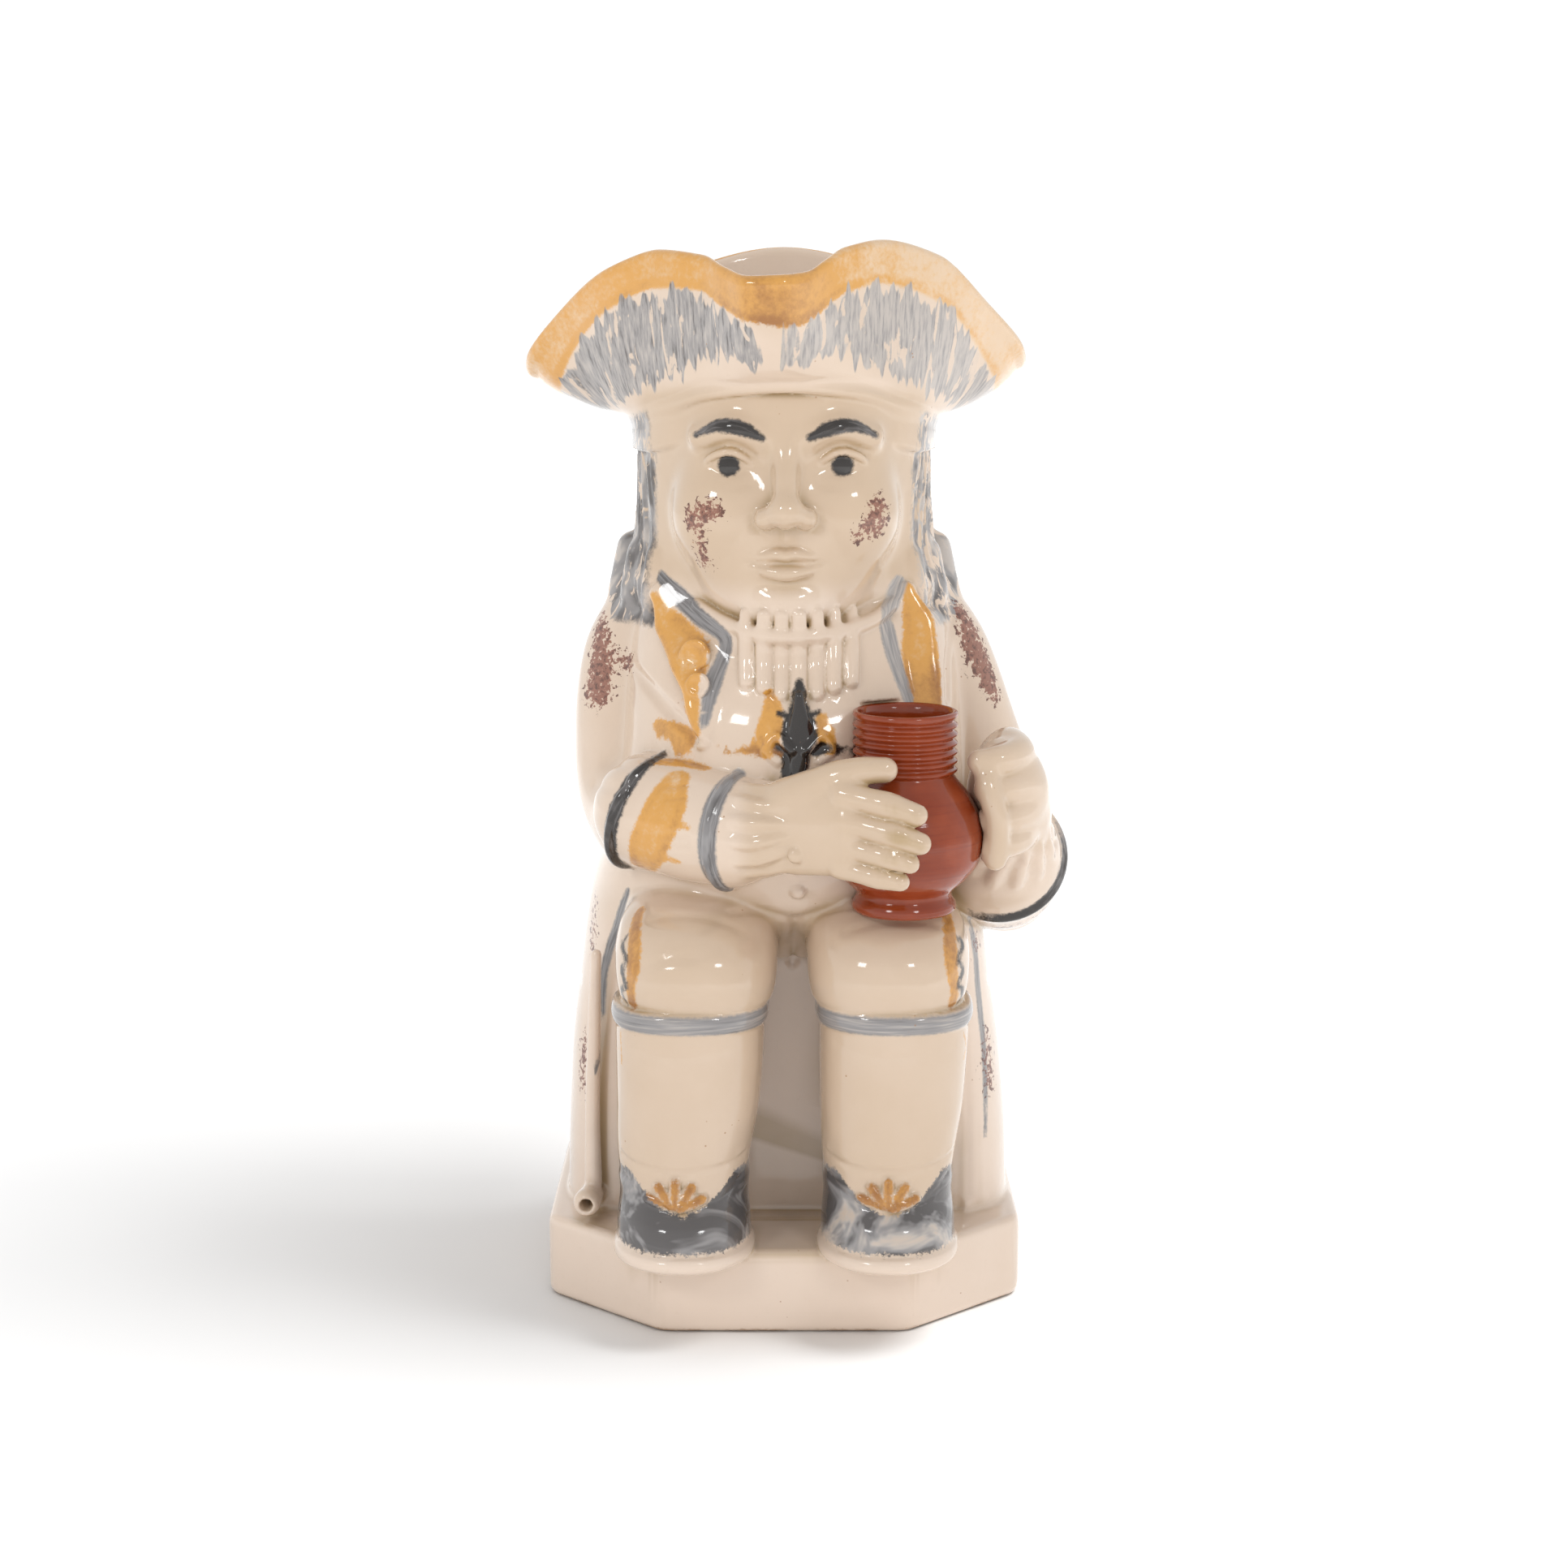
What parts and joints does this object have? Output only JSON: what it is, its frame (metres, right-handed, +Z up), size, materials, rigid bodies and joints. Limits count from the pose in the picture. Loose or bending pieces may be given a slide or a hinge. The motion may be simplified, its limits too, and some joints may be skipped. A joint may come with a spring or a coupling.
{
  "type": "toby jug",
  "caption": "Hollow pottery jug shaped as a seated man in a tricorn hat, holding a small ale jug on his knee, with a strap handle at the back.",
  "frame": {"origin": "centre of the plinth's flat underside", "axes": "+Z up; the figure faces -Y, so +X is the figure's left-hand side and the handle is at +Y"},
  "size_m": [0.1281, 0.1523, 0.2498],
  "materials": {
    "cream_glaze": "glossy cream glaze with ochre, blue-grey, black and manganese painting",
    "red_glaze": "glossy red-brown glaze"
  },
  "bodies": {
    "root": {"toby_figure": "cream_glaze", "ale_jug": "red_glaze"}
  },
  "joints": []
}
